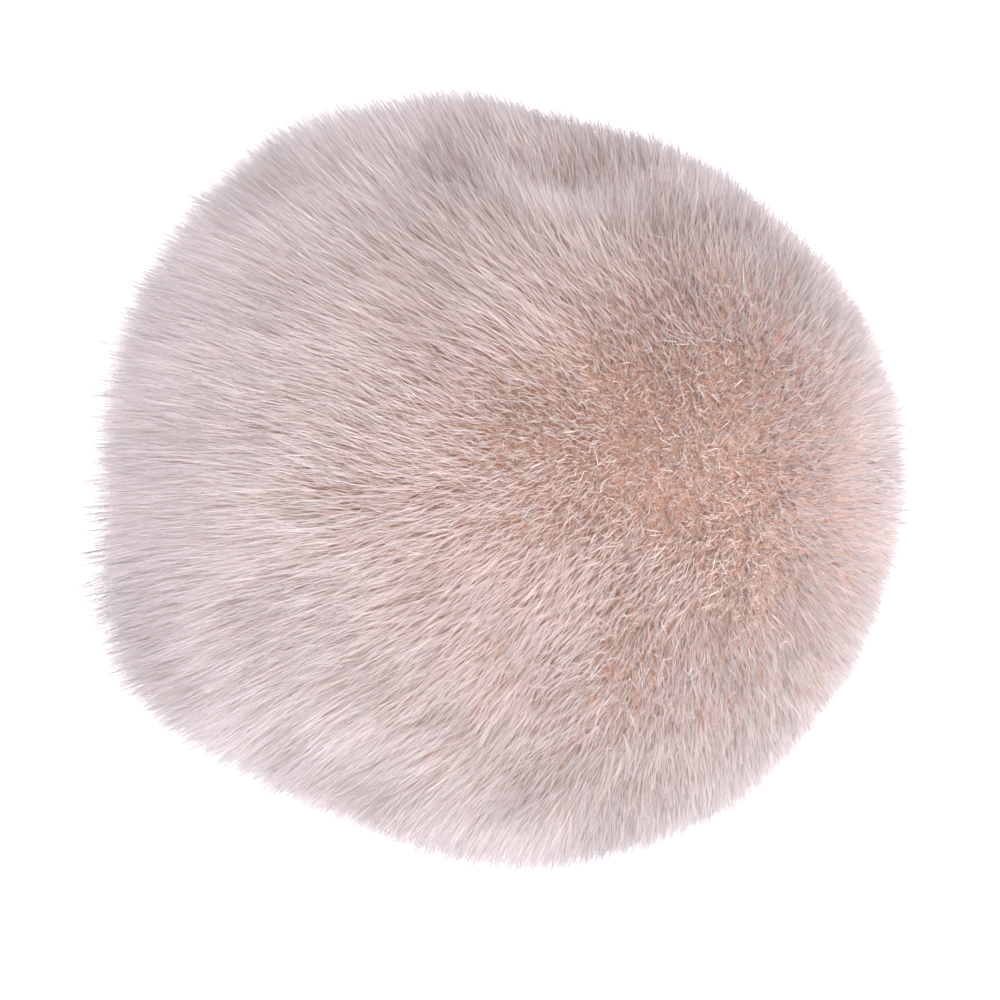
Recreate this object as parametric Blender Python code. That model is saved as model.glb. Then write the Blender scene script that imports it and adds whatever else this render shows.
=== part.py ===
"""A fur pom pom, standing on the flattened underside of its pile.

It is one ball of gathered pile fabric with a thick soft pile. The pile is 294 tapered locks of
four sides, which stand apart and are fused at their roots into one round backing. The pile leans
to the left (-X), and the locks under the ball are shorter and end level on the floor.

Metres, +Z up. The origin is on the floor, under the middle of the ball.
"""

import math
import random

import bmesh
import bpy
from mathutils import Matrix, Vector, noise

# Driving sizes
RADIUS_LEFT_RIGHT = 0.0509
RADIUS_FRONT_BACK = 0.0501
RADIUS_UP_DOWN = 0.0487
CENTRE_HEIGHT = 0.0450
CENTRE_LEFT_RIGHT = 0.0007
CENTRE_FRONT_BACK = -0.0003
BACKING_RADIUS = 0.0220

# How far the backing lies right of the middle of the pile, and how sharply the pile bends left
LEAN = 0.0085
LEAN_BEND = 1.6

# Where the tips stand proud of the rounded form or fall short of it. Azimuth is counted from +X
# towards +Y, elevation from the horizon, and spread is the angle at which the rise has faded to 37%
SWELLS = (
    # azimuth, elevation, spread, rise
    (50, 0, 26, -0.0026),
    (80, 0, 12, -0.0034),
    (84, 30, 13, -0.0034),
    (78, 32, 9, -0.0045),
    (118, 0, 18, 0.0016),
    (142, 2, 26, 0.0033),
    (186, 0, 12, 0.0012),
    (207, 0, 15, 0.0062),
    (250, 0, 20, -0.0022),
    (342, 0, 12, -0.0016),
    (30, 48, 22, 0.0012),
    (150, 55, 24, 0.0010),
    (255, 50, 24, -0.0010),
)
TUFT_RISE = 0.0009
TUFT_SCALE = 2.6

# The locks. A fill is a lock's width as a share of its own cell of the ball, and a sway is how far
# the lock has turned aside there, as a share of how far its tip has
CELLS_ALONG_CUBE = 7
CELL_JITTER = 0.22
TURN_ABOUT_UP = math.radians(24)
LOCK_RINGS = (
    # share of the way from root to tip, fill, sway
    (0.00, 0.84, 0.0),
    (0.42, 0.90, 0.0),
    (0.80, 0.90, 0.0),
    (0.93, 0.74, 0.25),
)
STANDING_TIP_FILL = 0.58
SHORTEST_LOCK = 0.965
TIP_SWAY = 0.36
DRIFT = 0.0022
DRIFT_SCALE = 1.7
SEED = 5
NOISE_SEED = 1796006610

PILE_COLOUR = (0.62, 0.50, 0.47, 1.0)


def clear_scene():
    for obj in list(bpy.data.objects):
        bpy.data.objects.remove(obj, do_unlink=True)


def direction_of(azimuth, elevation):
    """The unit vector at these angles, in degrees."""
    around = math.radians(azimuth)
    up = math.radians(elevation)
    return Vector((math.cos(around) * math.cos(up), math.sin(around) * math.cos(up), math.sin(up)))


def swell_at(direction):
    """How far the tips stand proud of the rounded form in this direction."""
    rise = TUFT_RISE * noise.noise(direction * TUFT_SCALE)
    for azimuth, elevation, spread, height in SWELLS:
        apart = direction.angle(direction_of(azimuth, elevation), 0.0)
        rise += height * math.exp(-((apart / math.radians(spread)) ** 2))
    return rise


def floor_distance(direction):
    """How far the floor is from the middle of the ball in this direction."""
    if direction.z > -0.05:
        return math.inf
    return -CENTRE_HEIGHT / direction.z


def form_distance(direction):
    """How far the tips are from the middle of the ball in this direction, with no floor below."""
    stretched = Vector((
        direction.x / RADIUS_LEFT_RIGHT,
        direction.y / RADIUS_FRONT_BACK,
        direction.z / RADIUS_UP_DOWN,
    ))
    return 1.0 / stretched.length + swell_at(direction)


def pile_point(direction, share, tip_distance):
    """A point of the pile that is this share of the way from the backing out to the tips."""
    distance = BACKING_RADIUS + (tip_distance - BACKING_RADIUS) * share
    lean = Vector((LEAN * (1.0 - share**LEAN_BEND), 0.0, 0.0))
    drift = noise.noise_vector(direction * DRIFT_SCALE) * DRIFT * share * (1.0 - share) * 4.0
    drift.z *= 0.5
    return lean + drift + direction * distance


def rounded_cube(bm):
    """A cube of even cells blown up to a ball of radius 1, with its inner corners moved at random."""
    bmesh.ops.create_cube(bm, size=2.0)
    cuts = CELLS_ALONG_CUBE - 1
    bmesh.ops.subdivide_edges(bm, edges=bm.edges[:], cuts=cuts, use_grid_fill=True)
    shift = random.Random(SEED)
    reach = CELL_JITTER / CELLS_ALONG_CUBE
    turn = Matrix.Rotation(TURN_ABOUT_UP, 3, "Z")
    for vert in bm.verts:
        even = Vector([math.tan(c * math.pi / 4.0) for c in vert.co]).normalized()
        away = Vector([shift.uniform(-reach, reach) for _ in range(3)])
        steady = even.z < -0.94
        vert.co = turn @ (even if steady else (even + away * 2.0).normalized())


def grow_lock(bm, cell, chance):
    """Grows one lock out of a cell of the ball. Its rings keep to the cell, so no two locks meet."""
    corners = [vert.co.copy() for vert in cell.verts]
    middle = sum(corners, Vector()).normalized()
    on_floor = floor_distance(middle) < form_distance(middle)
    length = chance.uniform(SHORTEST_LOCK, 1.0)
    turns = [chance.uniform(-TIP_SWAY, TIP_SWAY) for _ in range(2)]
    aside = (corners[0] - middle) * turns[0] + (corners[1] - middle) * turns[1]

    def ring_point(corner, share, fill, sway):
        aim = middle + (corner - middle) * fill
        if not on_floor:
            aim += aside * sway
        aim.normalize()
        tip = floor_distance(aim)
        if not on_floor:
            tip = min(tip, form_distance(aim) * length)
        return pile_point(aim, share, tip)

    face = cell
    for share, fill, sway in LOCK_RINGS:
        face = bmesh.ops.extrude_discrete_faces(bm, faces=[face])["faces"][0]
        for vert, corner in zip(face.verts, corners):
            vert.co = ring_point(corner, share, fill, sway)
    face = bmesh.ops.extrude_discrete_faces(bm, faces=[face])["faces"][0]
    if on_floor:
        for vert, corner in zip(face.verts, corners):
            vert.co = ring_point(corner, 1.0, STANDING_TIP_FILL, 0.0)
    else:
        bmesh.ops.pointmerge(bm, verts=face.verts[:], merge_co=ring_point(middle, 1.0, 0.0, 1.0))


def pile_material():
    material = bpy.data.materials.new("pile")
    material.use_nodes = True
    shader = material.node_tree.nodes["Principled BSDF"]
    shader.inputs["Base Color"].default_value = PILE_COLOUR
    shader.inputs["Roughness"].default_value = 0.85
    shader.inputs["Metallic"].default_value = 0.0
    return material


def build_pom_pom(collection):
    """The backing ball with all its locks, as one closed solid."""
    bm = bmesh.new()
    rounded_cube(bm)
    cells = bm.faces[:]
    backing = bm.verts[:]
    chance = random.Random(SEED)
    for cell in cells:
        grow_lock(bm, cell, chance)
    for vert in backing:
        vert.co = pile_point(vert.co.normalized(), 0.0, BACKING_RADIUS)
    bmesh.ops.recalc_face_normals(bm, faces=bm.faces[:])
    mesh = bpy.data.meshes.new("pom_pom")
    bm.to_mesh(mesh)
    bm.free()
    mesh.materials.append(pile_material())
    obj = bpy.data.objects.new("pom_pom", mesh)
    obj.location = (CENTRE_LEFT_RIGHT, CENTRE_FRONT_BACK, CENTRE_HEIGHT)
    collection.objects.link(obj)
    return obj


def main():
    clear_scene()
    noise.seed_set(NOISE_SEED)
    collection = bpy.data.collections.new("pom_pom")
    bpy.context.scene.collection.children.link(collection)
    build_pom_pom(collection)


main()
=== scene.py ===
"""The looks of the fur pom pom.

The solid's locks are replaced by an undercoat, which holds the ball's form, and by the pile that
grows out of it: underfur, four coats of pile and a coat of long guard hairs. Geometry Nodes
scatter the fibres over the undercoat and gather them into tufts, and a small rule, the same as the
solid's, says where the pile runs from its roots to its tips.

Metres, +Z up, in the frame of the solid. The camera looks straight down on the ball.
"""

import math

import bmesh
import bpy
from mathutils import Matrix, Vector, noise


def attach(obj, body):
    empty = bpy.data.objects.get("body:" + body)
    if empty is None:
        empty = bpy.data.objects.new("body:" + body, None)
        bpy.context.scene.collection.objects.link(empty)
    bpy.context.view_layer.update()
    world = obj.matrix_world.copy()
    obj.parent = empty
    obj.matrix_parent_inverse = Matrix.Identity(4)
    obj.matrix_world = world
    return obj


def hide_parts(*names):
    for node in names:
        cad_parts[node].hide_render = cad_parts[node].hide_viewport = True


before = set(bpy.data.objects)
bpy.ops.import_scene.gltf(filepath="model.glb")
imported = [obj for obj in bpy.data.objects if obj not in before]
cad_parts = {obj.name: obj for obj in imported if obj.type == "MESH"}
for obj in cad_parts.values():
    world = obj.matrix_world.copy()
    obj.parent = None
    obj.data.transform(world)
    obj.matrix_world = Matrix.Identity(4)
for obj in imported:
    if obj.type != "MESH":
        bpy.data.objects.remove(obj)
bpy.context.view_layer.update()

# The ball's driving sizes, as in the solid
RADIUS_LEFT_RIGHT = 0.0509
RADIUS_FRONT_BACK = 0.0501
RADIUS_UP_DOWN = 0.0487
CENTRE = Vector((0.0007, -0.0003, 0.0450))
BACKING_RADIUS = 0.0220
LEAN = 0.0085
LEAN_BEND = 1.6
DRIFT = 0.0022
DRIFT_SCALE = 1.7
NOISE_SEED = 1796006610

# Where the tips stand proud of the rounded form or fall short of it, as in the solid
SWELLS = (
    # azimuth, elevation, spread, rise
    (50, 0, 26, -0.0026),
    (80, 0, 12, -0.0034),
    (84, 30, 13, -0.0034),
    (78, 32, 9, -0.0045),
    (118, 0, 18, 0.0016),
    (142, 2, 26, 0.0033),
    (186, 0, 12, 0.0012),
    (207, 0, 15, 0.0062),
    (250, 0, 20, -0.0022),
    (342, 0, 12, -0.0016),
    (30, 48, 22, 0.0012),
    (150, 55, 24, 0.0010),
    (255, 50, 24, -0.0010),
)
TUFT_RISE = 0.0009
TUFT_SCALE = 2.6

# The undercoat lies this share of the way from the backing to the tips
UNDERCOAT_SHARE = 0.84
UNDERCOAT_STEPS = 6
COMB_SCALE = 5.0
COMB_SWAY = 0.0008

# Tufts: how far apart they stand at least, and how many there are to a square metre before that
TUFT_SPACING = 0.0010
TUFT_DENSITY = 1500000.0

# The coats of pile. Start and ends are shares of the way from the undercoat to the tips, radius and
# frizz are in metres, and pull is how far a fibre's tip is drawn to the middle of its tuft. Softness
# is how far a fibre is shaded as the round of the ball and not as its own faces
COATS = (
    # name, flat, fibres, segments, start, shortest, longest, radius, pull, frizz, softness, seed, finish
    ("underfur", True, 140000, 1, -0.10, 0.45, 0.95, 0.00009, 0.15, 0.0055, 0.0, 1, "underfur"),
    ("pile_1", False, 16500, 2, -0.10, 0.70, 1.22, 0.00006, 0.30, 0.0054, 0.95, 2, "pile"),
    ("pile_2", False, 16500, 2, -0.10, 0.70, 1.22, 0.00006, 0.30, 0.0054, 0.95, 3, "pile"),
    ("pile_3", False, 54000, 1, -0.10, 0.55, 1.22, 0.00009, 0.22, 0.0048, 0.95, 4, "pile"),
    ("pile_4", False, 54000, 1, -0.10, 0.55, 1.22, 0.00009, 0.22, 0.0048, 0.95, 5, "pile"),
    ("guard_hairs", True, 44000, 1, 0.10, 1.00, 2.00, 0.00006, 0.06, 0.0042, 0.0, 6, "guard_hairs"),
)
UV_TONE_WIDTH = 0.0025

# Painted shade: the pile is warmest and darkest on this side of the ball, where the deep pile lies in
# shade, and pales away from it with painted light towards the rims
PAINTED_SHADE_SIDE = Vector((0.12, 0.08, 1.0)).normalized()


def direction_of(azimuth, elevation):
    """The unit vector at these angles, in degrees."""
    around = math.radians(azimuth)
    up = math.radians(elevation)
    return Vector((math.cos(around) * math.cos(up), math.sin(around) * math.cos(up), math.sin(up)))


SWELL_DIRECTIONS = [(direction_of(a, e), math.radians(s), rise) for a, e, s, rise in SWELLS]


def tip_distance(direction):
    """How far the tips are from the middle of the ball in this direction."""
    stretched = Vector((
        direction.x / RADIUS_LEFT_RIGHT,
        direction.y / RADIUS_FRONT_BACK,
        direction.z / RADIUS_UP_DOWN,
    ))
    reach = 1.0 / stretched.length + TUFT_RISE * noise.noise(direction * TUFT_SCALE)
    for towards, spread, rise in SWELL_DIRECTIONS:
        apart = direction.angle(towards, 0.0)
        reach += rise * math.exp(-((apart / spread) ** 2))
    if direction.z < -0.05:
        reach = min(reach, -CENTRE.z / direction.z)
    return reach


def pile_point(direction, share, tip):
    """A point of the pile that is this share of the way from the backing out to the tips."""
    distance = BACKING_RADIUS + (tip - BACKING_RADIUS) * share
    lean = Vector((LEAN * (1.0 - share**LEAN_BEND), 0.0, 0.0))
    drift = noise.noise_vector(direction * DRIFT_SCALE) * DRIFT * share * (1.0 - share) * 4.0
    drift.z *= 0.5
    return CENTRE + lean + drift + direction * distance


def undercoat_mesh():
    """The ball under the pile. Each point says which way the pile runs from it out to the tips."""
    noise.seed_set(NOISE_SEED)
    bm = bmesh.new()
    bmesh.ops.create_icosphere(bm, subdivisions=UNDERCOAT_STEPS, radius=1.0)
    reach = bm.verts.layers.float_vector.new("reach")
    bow = bm.verts.layers.float_vector.new("bow")
    for vert in bm.verts:
        towards = vert.co.normalized()
        tip = tip_distance(towards)
        root = pile_point(towards, UNDERCOAT_SHARE, tip)
        middle = pile_point(towards, (UNDERCOAT_SHARE + 1.0) / 2.0, tip)
        end = pile_point(towards, 1.0, tip)
        sway = noise.noise_vector(towards * COMB_SCALE) * COMB_SWAY
        middle += sway / 2.0
        end += sway
        vert[reach] = end - root
        vert[bow] = middle - (root + end) / 2.0
        vert.co = root
    mesh = bpy.data.meshes.new("undercoat")
    bm.to_mesh(mesh)
    bm.free()
    mesh.shade_smooth()
    return mesh


# Small helpers for node trees

def add_node(tree, kind, **settings):
    node = tree.nodes.new(kind)
    for name, value in settings.items():
        setattr(node, name, value)
    return node


def feed(tree, socket, value):
    """Links a socket to this input, or sets the input's own value."""
    if isinstance(value, bpy.types.NodeSocket):
        tree.links.new(value, socket)
    else:
        socket.default_value = value


def live(sockets, number=0):
    """The socket of this number among those that are in use."""
    return [socket for socket in sockets if socket.enabled][number]


def combine(tree, kind, operation, *values):
    """The output of a math or vector math node."""
    node = add_node(tree, kind, operation=operation)
    for number, value in enumerate(values):
        feed(tree, live(node.inputs, number), value)
    return live(node.outputs)


def number_math(tree, operation, *values):
    return combine(tree, "ShaderNodeMath", operation, *values)


def vector_math(tree, operation, *values):
    return combine(tree, "ShaderNodeVectorMath", operation, *values)


def scaled(tree, vector, factor):
    node = add_node(tree, "ShaderNodeVectorMath", operation="SCALE")
    feed(tree, node.inputs["Vector"], vector)
    feed(tree, node.inputs["Scale"], factor)
    return node.outputs["Vector"]


def dot_product(tree, first, second):
    node = add_node(tree, "ShaderNodeVectorMath", operation="DOT_PRODUCT")
    feed(tree, node.inputs[0], first)
    feed(tree, node.inputs[1], second)
    return node.outputs["Value"]


def mixed(tree, first, second, factor):
    node = add_node(tree, "ShaderNodeMix", data_type="VECTOR")
    feed(tree, live(node.inputs, 0), factor)
    feed(tree, live(node.inputs, 1), first)
    feed(tree, live(node.inputs, 2), second)
    return live(node.outputs)


def chance(tree, lowest, highest, seed, offset, kind="FLOAT"):
    node = add_node(tree, "FunctionNodeRandomValue", data_type=kind)
    feed(tree, live(node.inputs, 0), lowest)
    feed(tree, live(node.inputs, 1), highest)
    feed(tree, node.inputs["Seed"], number_math(tree, "ADD", seed, offset))
    return live(node.outputs)


def recall(tree, name, kind="FLOAT_VECTOR"):
    node = add_node(tree, "GeometryNodeInputNamedAttribute", data_type=kind)
    node.inputs["Name"].default_value = name
    return live(node.outputs)


def store(tree, geometry, name, value, kind="FLOAT_VECTOR", domain="POINT"):
    node = add_node(tree, "GeometryNodeStoreNamedAttribute", data_type=kind, domain=domain)
    feed(tree, node.inputs["Geometry"], geometry)
    node.inputs["Name"].default_value = name
    feed(tree, node.inputs["Value"], value)
    return node.outputs["Geometry"]


def noise_vector(tree, place, scale, detail=0.0):
    """A smooth random vector, from about -0.5 to 0.5 along each axis."""
    node = add_node(tree, "ShaderNodeTexNoise", noise_dimensions="3D")
    feed(tree, node.inputs["Vector"], place)
    feed(tree, node.inputs["Scale"], scale)
    feed(tree, node.inputs["Detail"], detail)
    return vector_math(tree, "SUBTRACT", node.outputs["Color"], (0.5, 0.5, 0.5))


PILE_INPUTS = (
    # name, kind, first value
    ("Undercoat", "NodeSocketGeometry", None),
    ("Fibres per Square Metre", "NodeSocketFloat", 1.0),
    ("Segments", "NodeSocketInt", 3),
    ("Start", "NodeSocketFloat", 0.0),
    ("Shortest", "NodeSocketFloat", 0.8),
    ("Longest", "NodeSocketFloat", 1.0),
    ("Radius", "NodeSocketFloat", 0.0001),
    ("Pull", "NodeSocketFloat", 0.5),
    ("Frizz", "NodeSocketFloat", 0.001),
    ("Softness", "NodeSocketFloat", 0.5),
    ("Flat", "NodeSocketBool", False),
    ("Middle", "NodeSocketVector", tuple(CENTRE)),
    ("Painted Shade Side", "NodeSocketVector", tuple(PAINTED_SHADE_SIDE)),
    ("Seed", "NodeSocketInt", 0),
    ("Tuft Spacing", "NodeSocketFloat", TUFT_SPACING),
    ("Tufts per Square Metre", "NodeSocketFloat", TUFT_DENSITY),
    ("Material", "NodeSocketMaterial", None),
)


def path_of(tree, root, reach, bow, share):
    """The point of a fibre's path that is this share of the way out."""
    rest = number_math(tree, "MAXIMUM", number_math(tree, "SUBTRACT", 1.0, share), 0.0)
    hump = number_math(tree, "MULTIPLY", number_math(tree, "MULTIPLY", share, rest), 4.0)
    straight = vector_math(tree, "ADD", root, scaled(tree, reach, share))
    return vector_math(tree, "ADD", straight, scaled(tree, bow, hump))


def keep_shape(tree, mesh, along):
    """Keeps how far along the fibre and across it each point lies."""
    mesh = store(tree, mesh, "along", along, "FLOAT")
    position = add_node(tree, "GeometryNodeInputPosition").outputs["Position"]
    return store(tree, mesh, "across", vector_math(tree, "MULTIPLY", position, (1.0, 1.0, 0.0)))


def needle(tree, segments):
    """A thin three-sided spike one unit long, open at its hidden root."""
    cone = add_node(tree, "GeometryNodeMeshCone", fill_type="NONE")
    cone.inputs["Vertices"].default_value = 3
    feed(tree, cone.inputs["Side Segments"], segments)
    cone.inputs["Radius Top"].default_value = 0.0
    cone.inputs["Radius Bottom"].default_value = 1.0
    cone.inputs["Depth"].default_value = 1.0
    apart = add_node(tree, "ShaderNodeSeparateXYZ")
    feed(tree, apart.inputs["Vector"], add_node(tree, "GeometryNodeInputPosition").outputs["Position"])
    return keep_shape(tree, cone.outputs["Mesh"], apart.outputs["Z"])


def blade(tree):
    """One flat pointed face, as wide as the spike and one unit long."""
    triangle = add_node(tree, "GeometryNodeMeshCircle", fill_type="NGON")
    triangle.inputs["Vertices"].default_value = 3
    triangle.inputs["Radius"].default_value = 1.0
    apart = add_node(tree, "ShaderNodeSeparateXYZ")
    feed(tree, apart.inputs["Vector"], add_node(tree, "GeometryNodeInputPosition").outputs["Position"])
    along = number_math(tree, "GREATER_THAN", apart.outputs["X"], 0.5)
    place = add_node(tree, "ShaderNodeCombineXYZ")
    feed(tree, place.inputs["Y"], apart.outputs["Y"])
    shaped = add_node(tree, "GeometryNodeSetPosition")
    mesh = store(tree, triangle.outputs["Mesh"], "along", along, "FLOAT")
    feed(tree, shaped.inputs["Geometry"], mesh)
    feed(tree, shaped.inputs["Position"], place.outputs["Vector"])
    return keep_shape(tree, shaped.outputs["Geometry"], recall(tree, "along", "FLOAT"))


def pile_tree():
    """The node tree that grows a coat of pile on the undercoat."""
    tree = bpy.data.node_groups.new("grow pile", "GeometryNodeTree")
    for name, kind, value in PILE_INPUTS:
        socket = tree.interface.new_socket(name, in_out="INPUT", socket_type=kind)
        if value is not None:
            socket.default_value = value
    tree.interface.new_socket("Pile", in_out="OUTPUT", socket_type="NodeSocketGeometry")
    given = add_node(tree, "NodeGroupInput").outputs
    undercoat = given["Undercoat"]
    seed = given["Seed"]

    # Tufts stand evenly over the undercoat
    tufts = add_node(tree, "GeometryNodeDistributePointsOnFaces", distribute_method="POISSON")
    feed(tree, tufts.inputs["Mesh"], undercoat)
    feed(tree, tufts.inputs["Distance Min"], given["Tuft Spacing"])
    feed(tree, tufts.inputs["Density Max"], given["Tufts per Square Metre"])
    tufts.inputs["Seed"].default_value = 7

    # Fibres stand anywhere, and each belongs to the nearest tuft
    fibres = add_node(tree, "GeometryNodeDistributePointsOnFaces", distribute_method="RANDOM")
    feed(tree, fibres.inputs["Mesh"], undercoat)
    feed(tree, fibres.inputs["Density"], given["Fibres per Square Metre"])
    feed(tree, fibres.inputs["Seed"], seed)
    position = add_node(tree, "GeometryNodeInputPosition").outputs["Position"]
    astray = scaled(tree, noise_vector(tree, position, 900.0), 0.0012)
    nearest = add_node(tree, "GeometryNodeSampleNearest", domain="POINT")
    feed(tree, nearest.inputs["Geometry"], tufts.outputs["Points"])
    feed(tree, nearest.inputs["Sample Position"], vector_math(tree, "ADD", position, astray))

    def of_tuft(value, kind="FLOAT_VECTOR"):
        sample = add_node(tree, "GeometryNodeSampleIndex", data_type=kind, domain="POINT")
        feed(tree, sample.inputs["Geometry"], tufts.outputs["Points"])
        feed(tree, live(sample.inputs, 1), value)
        feed(tree, sample.inputs["Index"], nearest.outputs["Index"])
        return live(sample.outputs)

    tuft_length = of_tuft(chance(tree, 0.93, 1.04, 0, 21), "FLOAT")
    tuft_tone = of_tuft(chance(tree, -0.10, 0.10, 0, 22), "FLOAT")
    tuft_turn = of_tuft(chance(tree, (-1.0, -1.0, -1.0), (1.0, 1.0, 1.0), 0, 23, "FLOAT_VECTOR"))
    tuft_reach = vector_math(
        tree, "ADD", of_tuft(recall(tree, "reach")), scaled(tree, tuft_turn, 0.0009)
    )
    own_length = chance(tree, given["Shortest"], given["Longest"], seed, 31)
    points = fibres.outputs["Points"]
    points = store(tree, points, "root", position)
    points = store(tree, points, "tuft_root", of_tuft(position))
    points = store(tree, points, "tuft_bow", of_tuft(recall(tree, "bow")))
    points = store(tree, points, "tuft_reach", tuft_reach)
    points = store(
        tree, points, "length", number_math(tree, "MULTIPLY", own_length, tuft_length), "FLOAT"
    )
    thickness = number_math(tree, "MULTIPLY", given["Radius"], chance(tree, 0.7, 1.3, seed, 32))
    points = store(tree, points, "thickness", thickness, "FLOAT")
    # Painted shade and light: fibres rooted towards the crown, on the side the vector gives, take
    # warmer, darker tones, and those towards the rims paler ones
    up = vector_math(tree, "NORMALIZE", vector_math(tree, "SUBTRACT", position, given["Middle"]))
    painted_shade = number_math(tree, "MAXIMUM", dot_product(tree, up, given["Painted Shade Side"]), 0.0)
    painted_rim_light = number_math(tree, "MULTIPLY_ADD", number_math(tree, "POWER", painted_shade, 4.0), -0.62, 0.42)
    tone = number_math(tree, "ADD", chance(tree, 0.30, 0.65, seed, 33), tuft_tone)
    tone = number_math(tree, "ADD", tone, painted_rim_light)
    tone = number_math(tree, "MAXIMUM", number_math(tree, "MINIMUM", tone, 0.97), 0.03)
    points = store(tree, points, "tone", tone, "FLOAT")
    pull = number_math(tree, "MULTIPLY", given["Pull"], chance(tree, 0.6, 1.3, seed, 34))
    points = store(tree, points, "pull", pull, "FLOAT")

    fibre = add_node(tree, "GeometryNodeSwitch", input_type="GEOMETRY")
    feed(tree, fibre.inputs["Switch"], given["Flat"])
    feed(tree, fibre.inputs["False"], needle(tree, given["Segments"]))
    feed(tree, fibre.inputs["True"], blade(tree))
    spikes = add_node(tree, "GeometryNodeInstanceOnPoints")
    feed(tree, spikes.inputs["Points"], points)
    feed(tree, spikes.inputs["Instance"], fibre.outputs["Output"])
    real = add_node(tree, "GeometryNodeRealizeInstances")
    feed(tree, real.inputs["Geometry"], spikes.outputs["Instances"])

    # Each spike is bent along its fibre's path, which is drawn to its tuft's as it rises
    along = recall(tree, "along", "FLOAT")
    length = recall(tree, "length", "FLOAT")
    span = number_math(tree, "SUBTRACT", length, given["Start"])
    share = number_math(tree, "MULTIPLY_ADD", span, along, given["Start"])
    root = recall(tree, "root")
    reach = recall(tree, "reach")
    tuft_root = recall(tree, "tuft_root")

    def fibre_point(share):
        risen = number_math(tree, "MAXIMUM", share, 0.0)
        own = path_of(tree, root, reach, recall(tree, "bow"), share)
        tuft = path_of(tree, tuft_root, recall(tree, "tuft_reach"), recall(tree, "tuft_bow"), share)
        drawn = number_math(tree, "MULTIPLY", recall(tree, "pull", "FLOAT"), risen)
        place = mixed(tree, own, tuft, number_math(tree, "MINIMUM", drawn, 0.95))
        climbed = scaled(tree, reach, share)
        fibre_wave = noise_vector(
            tree, vector_math(tree, "ADD", scaled(tree, root, 40.0), climbed), 260.0
        )
        bent = scaled(tree, fibre_wave, number_math(tree, "MULTIPLY", given["Frizz"], risen))
        tuft_wave = noise_vector(tree, vector_math(tree, "ADD", tuft_root, climbed), 330.0)
        swept = scaled(tree, tuft_wave, number_math(tree, "MULTIPLY", risen, 0.0012))
        return vector_math(tree, "ADD", place, vector_math(tree, "ADD", bent, swept))

    # One face of the spike is turned away from the middle of the ball as far as its heading lets it
    place = fibre_point(share)
    step = number_math(tree, "DIVIDE", number_math(tree, "MULTIPLY", span, 0.5), given["Segments"])
    ahead = fibre_point(number_math(tree, "ADD", share, step))
    behind = fibre_point(number_math(tree, "SUBTRACT", share, step))
    heading = vector_math(tree, "NORMALIZE", vector_math(tree, "SUBTRACT", ahead, behind))
    outward = vector_math(tree, "NORMALIZE", vector_math(tree, "SUBTRACT", place, given["Middle"]))
    side = vector_math(tree, "NORMALIZE", vector_math(tree, "CROSS_PRODUCT", heading, outward))
    facing = vector_math(tree, "CROSS_PRODUCT", side, heading)
    across = add_node(tree, "ShaderNodeSeparateXYZ")
    feed(tree, across.inputs["Vector"], recall(tree, "across"))
    fullness = number_math(tree, "MULTIPLY_ADD", along, 1.5, 1.0)
    width = number_math(tree, "MULTIPLY", fullness, recall(tree, "thickness", "FLOAT"))
    shell = vector_math(
        tree, "ADD",
        scaled(tree, facing, across.outputs["X"]),
        scaled(tree, side, across.outputs["Y"]),
    )
    place = vector_math(tree, "SUBTRACT", place, scaled(tree, shell, width))
    above_floor = vector_math(tree, "MAXIMUM", place, (-1.0, -1.0, 0.00005))
    bend = add_node(tree, "GeometryNodeSetPosition")
    feed(tree, bend.inputs["Geometry"], real.outputs["Geometry"])
    feed(tree, bend.inputs["Position"], above_floor)

    soft_normal = vector_math(tree, "NORMALIZE", mixed(tree, facing, outward, given["Softness"]))
    kept_normal = store(tree, bend.outputs["Geometry"], "soft_normal", soft_normal)

    # The map holds the fibre's tone across, its painted shade and light included, and the way from root
    # to tip upwards
    skew = number_math(tree, "MULTIPLY_ADD", across.outputs["Y"], 0.6, across.outputs["X"])
    tone = number_math(tree, "MULTIPLY_ADD", skew, UV_TONE_WIDTH, recall(tree, "tone", "FLOAT"))
    chart = add_node(tree, "ShaderNodeCombineXYZ")
    feed(tree, chart.inputs["X"], tone)
    feed(tree, chart.inputs["Y"], number_math(tree, "MULTIPLY_ADD", along, 0.98, 0.01))
    pile = store(tree, kept_normal, "OFBake", chart.outputs["Vector"], "FLOAT2", "CORNER")
    smooth = add_node(tree, "GeometryNodeSetShadeSmooth")
    feed(tree, smooth.inputs["Geometry"], pile)
    rounded = add_node(tree, "GeometryNodeSetMeshNormal", mode="FREE", domain="POINT")
    feed(tree, rounded.inputs["Mesh"], smooth.outputs["Geometry"])
    feed(tree, live(rounded.inputs, 1), recall(tree, "soft_normal"))
    dressed = add_node(tree, "GeometryNodeSetMaterial")
    feed(tree, dressed.inputs["Geometry"], rounded.outputs["Mesh"])
    feed(tree, dressed.inputs["Material"], given["Material"])
    end = add_node(tree, "NodeGroupOutput")
    feed(tree, end.inputs["Pile"], dressed.outputs["Geometry"])
    return tree


def socket_names(tree):
    return {item.name: item.identifier for item in tree.interface.items_tree if item.in_out == "INPUT"}


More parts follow.
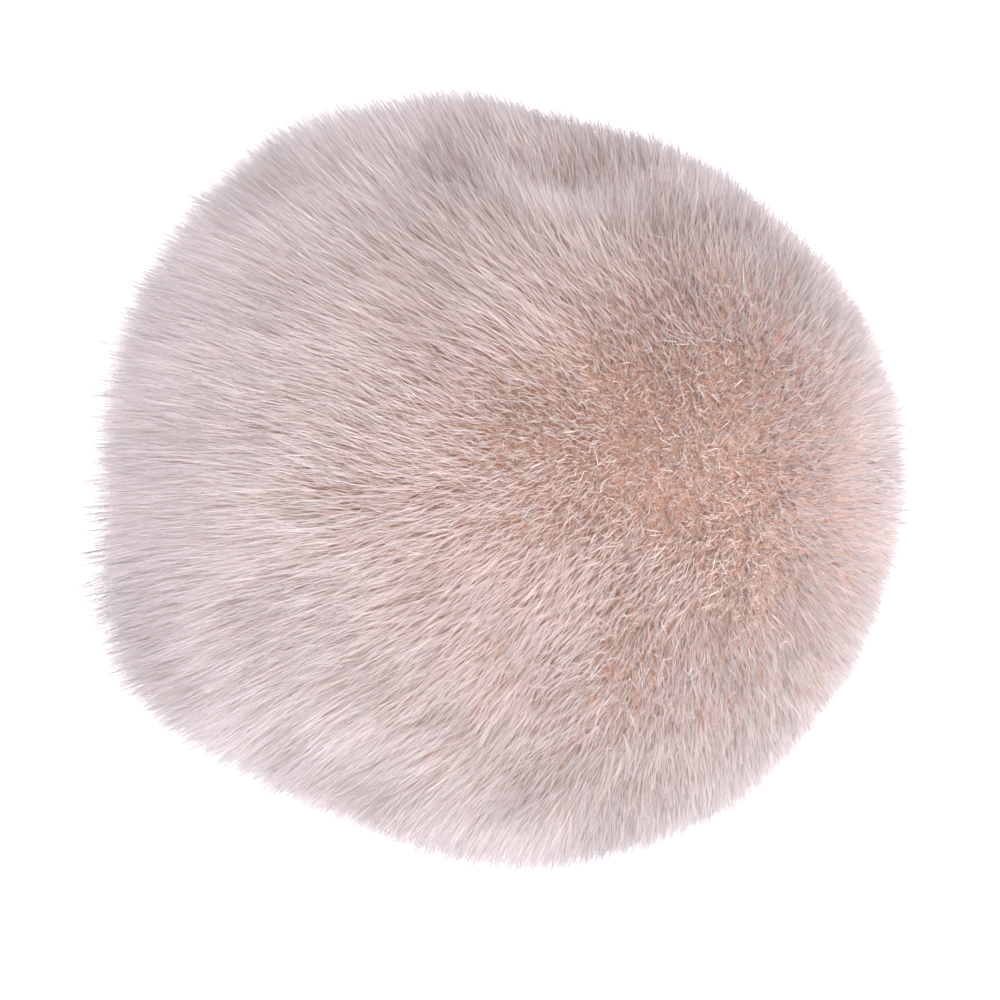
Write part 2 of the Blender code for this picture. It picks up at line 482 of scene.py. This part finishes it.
def grow_coat(tree, undercoat, area, coat, material):
    """Grows one coat of pile on a copy of the undercoat, and keeps the fibres alone as a mesh."""
    name, flat, count, segments, start, shortest, longest, radius, pull, frizz, softness, seed, _ = coat
    obj = bpy.data.objects.new(name, undercoat.copy())
    bpy.context.scene.collection.objects.link(obj)
    modifier = obj.modifiers.new("grow pile", "NODES")
    modifier.node_group = tree
    socket = socket_names(tree)
    values = {
        "Fibres per Square Metre": count / area,
        "Segments": segments,
        "Start": start,
        "Shortest": shortest,
        "Longest": longest,
        "Radius": radius,
        "Pull": pull,
        "Frizz": frizz,
        "Softness": softness,
        "Flat": flat,
        "Seed": seed,
        "Tuft Spacing": TUFT_SPACING,
        "Tufts per Square Metre": TUFT_DENSITY,
        "Material": material,
    }
    for label, value in values.items():
        modifier[socket[label]] = value
    graph = bpy.context.evaluated_depsgraph_get()
    mesh = bpy.data.meshes.new_from_object(obj.evaluated_get(graph))
    obj.modifiers.clear()
    bare = obj.data
    obj.data = mesh
    bpy.data.meshes.remove(bare)
    mesh.name = name
    for attribute in [a.name for a in mesh.attributes if a.name in WORKING_ATTRIBUTES]:
        mesh.attributes.remove(mesh.attributes[attribute])
    return obj


WORKING_ATTRIBUTES = {
    "reach", "bow", "root", "tuft_root", "tuft_bow", "tuft_reach",
    "length", "thickness", "tone", "pull", "along", "across", "soft_normal",
}


# Finishes

def ramp(tree, factor, stops):
    node = add_node(tree, "ShaderNodeValToRGB")
    feed(tree, node.inputs["Fac"], factor)
    elements = node.color_ramp.elements
    while len(elements) < len(stops):
        elements.new(0.5)
    for element, (place, colour) in zip(elements, stops):
        element.position = place
        element.color = (*colour, 1.0)
    return node.outputs["Color"]


def fibre_material(name, warm_stops, cool_stops):
    """Fibres darker and warmer at the root, as painted shade of the deep pile, and paler at the tip, as
    painted light, each of its own tone from warm to cool.
    """
    material = bpy.data.materials.new(name)
    material.use_nodes = True
    tree = material.node_tree
    shader = tree.nodes["Principled BSDF"]
    chart = add_node(tree, "ShaderNodeUVMap", uv_map="OFBake")
    apart = add_node(tree, "ShaderNodeSeparateXYZ")
    feed(tree, apart.inputs["Vector"], chart.outputs["UV"])
    warm = ramp(tree, apart.outputs["Y"], warm_stops)
    cool = ramp(tree, apart.outputs["Y"], cool_stops)
    blend = add_node(tree, "ShaderNodeMix", data_type="RGBA")
    feed(tree, live(blend.inputs, 0), apart.outputs["X"])
    feed(tree, live(blend.inputs, 1), warm)
    feed(tree, live(blend.inputs, 2), cool)
    feed(tree, shader.inputs["Base Color"], live(blend.outputs))
    shader.inputs["Roughness"].default_value = 0.8
    shader.inputs["Specular IOR Level"].default_value = 0.15
    return material


def undercoat_material():
    """The dense roots of the pile, mottled and brown with painted shade of the deep pile, darkest and
    warmest towards the top.
    """
    material = bpy.data.materials.new("undercoat")
    material.use_nodes = True
    tree = material.node_tree
    shader = tree.nodes["Principled BSDF"]
    place = add_node(tree, "ShaderNodeTexCoord").outputs["Object"]
    mottle = add_node(tree, "ShaderNodeTexNoise")
    feed(tree, mottle.inputs["Vector"], place)
    mottle.inputs["Scale"].default_value = 2600.0
    mottle.inputs["Detail"].default_value = 3.0
    # Painted shade: the warm ramp is the darker shade of the deep pile at the top, the pale ramp the
    # lighter sides lower down
    warm = ramp(tree, mottle.outputs["Fac"], ((0.30, (0.66, 0.41, 0.30)), (0.70, (0.84, 0.62, 0.51))))
    pale = ramp(tree, mottle.outputs["Fac"], ((0.30, (0.76, 0.55, 0.46)), (0.70, (0.89, 0.73, 0.66))))
    height = add_node(tree, "ShaderNodeSeparateXYZ")
    feed(tree, height.inputs["Vector"], place)
    # The painted shade deepens from the sides towards the top of the ball
    rise = add_node(tree, "ShaderNodeMapRange")
    feed(tree, rise.inputs["Value"], height.outputs["Z"])
    rise.inputs["From Min"].default_value = 0.060
    rise.inputs["From Max"].default_value = 0.084
    blend = add_node(tree, "ShaderNodeMix", data_type="RGBA")
    feed(tree, live(blend.inputs, 0), rise.outputs["Result"])
    feed(tree, live(blend.inputs, 1), pale)
    feed(tree, live(blend.inputs, 2), warm)
    feed(tree, shader.inputs["Base Color"], live(blend.outputs))
    shader.inputs["Roughness"].default_value = 0.9
    shader.inputs["Specular IOR Level"].default_value = 0.1
    bump = add_node(tree, "ShaderNodeBump")
    bump.inputs["Distance"].default_value = 0.0003
    bump.inputs["Strength"].default_value = 0.8
    feed(tree, bump.inputs["Height"], mottle.outputs["Fac"])
    feed(tree, shader.inputs["Normal"], bump.outputs["Normal"])
    return material


def make_finishes():
    return {
        # The darker, warmer roots of the pile and underfur are painted shade of the deep pile, and their
        # pale tips painted light
        "pile": fibre_material(
            "pile",
            ((0.10, (0.82, 0.56, 0.45)), (0.50, (0.88, 0.70, 0.62)), (0.90, (0.92, 0.81, 0.79))),
            ((0.10, (0.87, 0.68, 0.60)), (0.50, (0.91, 0.80, 0.78)), (0.90, (0.94, 0.89, 0.92))),
        ),
        "underfur": fibre_material(
            "underfur",
            ((0.10, (0.79, 0.51, 0.39)), (0.60, (0.87, 0.66, 0.57)), (1.00, (0.90, 0.74, 0.68))),
            ((0.10, (0.84, 0.61, 0.52)), (0.60, (0.90, 0.75, 0.70)), (1.00, (0.93, 0.84, 0.82))),
        ),
        "guard_hairs": fibre_material(
            "guard_hairs",
            ((0.10, (0.88, 0.71, 0.64)), (0.45, (0.84, 0.72, 0.71)), (0.75, (0.50, 0.43, 0.47))),
            ((0.10, (0.90, 0.76, 0.71)), (0.45, (0.86, 0.76, 0.78)), (0.75, (0.52, 0.46, 0.51))),
        ),
    }


def make_pom_pom():
    base = undercoat_mesh()
    undercoat = bpy.data.objects.new("undercoat", base)
    bpy.context.scene.collection.objects.link(undercoat)
    tree = pile_tree()
    finishes = make_finishes()
    area = sum(face.area for face in base.polygons)
    for coat in COATS:
        piece = grow_coat(tree, base, area, coat, finishes[coat[-1]])
        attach(piece, "root")
    base.materials.append(undercoat_material())
    for name in ("reach", "bow"):
        base.attributes.remove(base.attributes[name])
    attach(undercoat, "root")
    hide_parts("pom_pom")


# Stage: a white tent with bright walls, and open above where the camera looks in

WALL_LIGHT = 1.90
CEILING_LIGHT = 0.95


def area_light(name, place, size, power, colour, aim=(0.0, 0.0, 0.045)):
    lamp = bpy.data.lights.new(name, "AREA")
    lamp.shape = "DISK"
    lamp.size = size
    lamp.energy = power
    lamp.color = colour
    obj = bpy.data.objects.new(name, lamp)
    obj.location = place
    obj.rotation_euler = (Vector(aim) - Vector(place)).to_track_quat("-Z", "Y").to_euler()
    bpy.context.scene.collection.objects.link(obj)


def make_stage():
    bm = bmesh.new()
    bmesh.ops.create_circle(bm, cap_ends=True, segments=96, radius=3.0)
    mesh = bpy.data.meshes.new("floor")
    bm.to_mesh(mesh)
    bm.free()
    floor = bpy.data.objects.new("floor", mesh)
    bpy.context.scene.collection.objects.link(floor)
    material = bpy.data.materials.new("floor")
    material.use_nodes = True
    shader = material.node_tree.nodes["Principled BSDF"]
    shader.inputs["Base Color"].default_value = (0.93, 0.93, 0.93, 1.0)
    shader.inputs["Roughness"].default_value = 0.9
    shader.inputs["Specular IOR Level"].default_value = 0.0
    shader.inputs["Emission Color"].default_value = (1.0, 1.0, 1.0, 1.0)
    shader.inputs["Emission Strength"].default_value = 0.4
    mesh.materials.append(material)

    world = bpy.data.worlds.new("studio")
    world.use_nodes = True
    background = world.node_tree.nodes["Background"]
    background.inputs["Color"].default_value = (0.98, 0.97, 1.0, 1.0)
    direction = add_node(world.node_tree, "ShaderNodeTexCoord").outputs["Generated"]
    height = add_node(world.node_tree, "ShaderNodeSeparateXYZ")
    feed(world.node_tree, height.inputs["Vector"], direction)
    strength = add_node(world.node_tree, "ShaderNodeMapRange")
    feed(world.node_tree, strength.inputs["Value"], height.outputs["Z"])
    strength.inputs["From Min"].default_value = 0.25
    strength.inputs["From Max"].default_value = 0.95
    strength.inputs["To Min"].default_value = WALL_LIGHT
    strength.inputs["To Max"].default_value = CEILING_LIGHT
    feed(world.node_tree, background.inputs["Strength"], strength.outputs["Result"])
    bpy.context.scene.world = world

    area_light("key", (0.34, -0.52, 0.68), 1.50, 7.5, (0.98, 0.98, 1.0))
    area_light("fill", (0.55, 0.25, 0.66), 1.20, 2.5, (0.98, 0.97, 1.0))
    scene = bpy.context.scene
    scene.view_settings.view_transform = "Standard"
    scene.view_settings.look = "None"


# The photograph is 1000 pixels wide, and the ball is 785 of them across, around this pixel
FRAME_PIXELS = 1000
BALL_PIXELS = 785
BALL_PIXEL = (503, 480)
BALL_ACROSS = 0.100
LENS = 0.135
SENSOR = 0.036


def make_camera():
    """A long lens straight above the ball."""
    pixel = BALL_ACROSS / BALL_PIXELS
    distance = FRAME_PIXELS * pixel * LENS / SENSOR
    camera = bpy.data.cameras.new("camera")
    camera.lens = LENS * 1000.0
    camera.sensor_width = SENSOR * 1000.0
    camera.clip_start = 0.01
    obj = bpy.data.objects.new("camera", camera)
    obj.location = (
        (FRAME_PIXELS / 2 - BALL_PIXEL[0]) * pixel,
        (BALL_PIXEL[1] - FRAME_PIXELS / 2) * pixel,
        CENTRE.z + distance,
    )
    bpy.context.scene.collection.objects.link(obj)
    bpy.context.scene.camera = obj


make_camera()
make_pom_pom()
make_stage()
